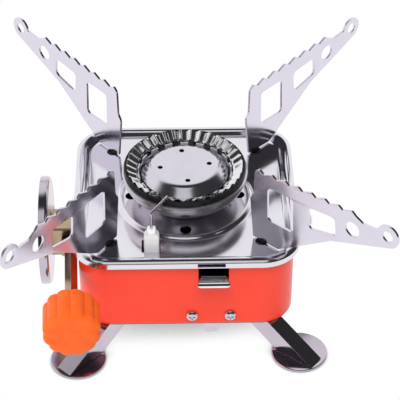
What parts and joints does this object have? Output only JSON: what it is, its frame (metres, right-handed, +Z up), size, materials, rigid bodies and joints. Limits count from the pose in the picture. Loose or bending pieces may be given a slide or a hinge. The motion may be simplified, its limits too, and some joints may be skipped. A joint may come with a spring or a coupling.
{
  "type": "camping gas stove",
  "caption": "Square folding gas stove with a red pressed body, slotted burner, swing-out toothed pot arms, folding legs, side valve knob and cartridge collar.",
  "frame": {"origin": "centre of the body's flat underside, on the burner's axis", "axes": "+Z up, +X the stove's right side seen from the front, -Y its front with the igniter lever"},
  "size_m": [0.1428, 0.1523, 0.0842],
  "materials": {
    "painted_body": "gloss",
    "polished_steel": "polished",
    "heated_band": "heat darkened",
    "crown_steel": "polished",
    "port_steel": "dark satin",
    "cap_steel": "satin",
    "arm_steel": "polished",
    "leg_steel": "polished",
    "collar_steel": "polished",
    "dark_steel": "blackened",
    "brass": "machined",
    "chromed_lever": "polished",
    "zinc_plate": "zinc plated",
    "black_rubber": "matte",
    "orange_plastic": "satin",
    "black_plastic": "matte",
    "white_ceramic": "glazed white ceramic",
    "lead_sleeve": "matte silicone"
  },
  "bodies": {
    "body": {"body_shell": "painted_body", "tray": "polished_steel", "burner_bowl": "polished_steel", "burner_ring": "heated_band", "burner_crown": "crown_steel", "port_ring": "port_steel", "burner_cap": "cap_steel", "mixing_tube": "brass", "burner_nut": "brass", "jet": "brass", "jet_block": "brass", "gas_pipe": "brass", "leg_rivet_rear_left": "zinc_plate", "leg_rivet_rear_right": "zinc_plate", "leg_rivet_front_right": "zinc_plate", "leg_rivet_front_left": "zinc_plate", "valve_body": "brass", "packing_nut": "brass", "spindle_seal": "black_rubber", "cartridge_flange": "collar_steel", "valve_nozzle": "brass", "cartridge_seal": "black_rubber", "igniter_body": "black_plastic", "igniter_bracket": "zinc_plate", "front_screw_left": "zinc_plate", "front_screw_right": "zinc_plate", "electrode_insulator": "white_ceramic", "electrode_wire": "zinc_plate", "ignition_lead": "lead_sleeve"},
    "rear_left_arm": {"arm_rear_left": "arm_steel", "arm_pin_rear_left": "dark_steel"},
    "rear_right_arm": {"arm_rear_right": "arm_steel", "arm_pin_rear_right": "dark_steel"},
    "front_right_arm": {"arm_front_right": "arm_steel", "arm_pin_front_right": "dark_steel"},
    "front_left_arm": {"arm_front_left": "arm_steel", "arm_pin_front_left": "dark_steel"},
    "rear_left_leg": {"leg_rear_left": "leg_steel", "foot_rear_left": "leg_steel"},
    "rear_right_leg": {"leg_rear_right": "leg_steel", "foot_rear_right": "leg_steel"},
    "front_right_leg": {"leg_front_right": "leg_steel", "foot_front_right": "leg_steel"},
    "front_left_leg": {"leg_front_left": "leg_steel", "foot_front_left": "leg_steel"},
    "valve_knob": {"knob": "orange_plastic", "valve_spindle": "brass"},
    "ignition_lever": {"igniter_lever": "chromed_lever", "igniter_plunger": "black_plastic"}
  },
  "joints": [
    {"name": "rear_left_arm_swing", "type": "hinge", "parent": "body", "child": "rear_left_arm", "pos_m": [-0.0286, 0.0286, 0.0322], "axis": [0, 0, 1], "range_deg": [-124.1, 0]},
    {"name": "rear_right_arm_swing", "type": "hinge", "parent": "body", "child": "rear_right_arm", "pos_m": [0.0286, 0.0286, 0.0322], "axis": [0, 0, 1], "range_deg": [-125.8, 0]},
    {"name": "front_right_arm_swing", "type": "hinge", "parent": "body", "child": "front_right_arm", "pos_m": [0.0286, -0.0286, 0.0322], "axis": [0, 0, 1], "range_deg": [-129.2, 0]},
    {"name": "front_left_arm_swing", "type": "hinge", "parent": "body", "child": "front_left_arm", "pos_m": [-0.0286, -0.0286, 0.0322], "axis": [0, 0, 1], "range_deg": [-137.1, 0]},
    {"name": "rear_left_leg_swing", "type": "hinge", "parent": "body", "child": "rear_left_leg", "pos_m": [-0.0218, 0.0249, -0.0008], "axis": [0, 0, 1], "range_deg": [0, 130.5]},
    {"name": "rear_right_leg_swing", "type": "hinge", "parent": "body", "child": "rear_right_leg", "pos_m": [0.0218, 0.0249, -0.0008], "axis": [0, 0, 1], "range_deg": [0, 139.5]},
    {"name": "front_right_leg_swing", "type": "hinge", "parent": "body", "child": "front_right_leg", "pos_m": [0.0218, -0.0249, -0.0008], "axis": [0, 0, 1], "range_deg": [0, 129.8]},
    {"name": "front_left_leg_swing", "type": "hinge", "parent": "body", "child": "front_left_leg", "pos_m": [-0.0218, -0.0249, -0.0008], "axis": [0, 0, 1], "range_deg": [0, 134.5]},
    {"name": "knob_turn", "type": "hinge", "parent": "body", "child": "valve_knob", "pos_m": [-0.0445, -0.0101, 0.0226], "axis": [0.0489, -0.9988, 0], "range_deg": [0, 360]},
    {"name": "lever_press", "type": "slide", "parent": "body", "child": "ignition_lever", "axis": [0, 0, -1], "range_m": [0, 0.0045], "stiffness_N_per_m": 600, "springref_m": -0.002}
  ]
}
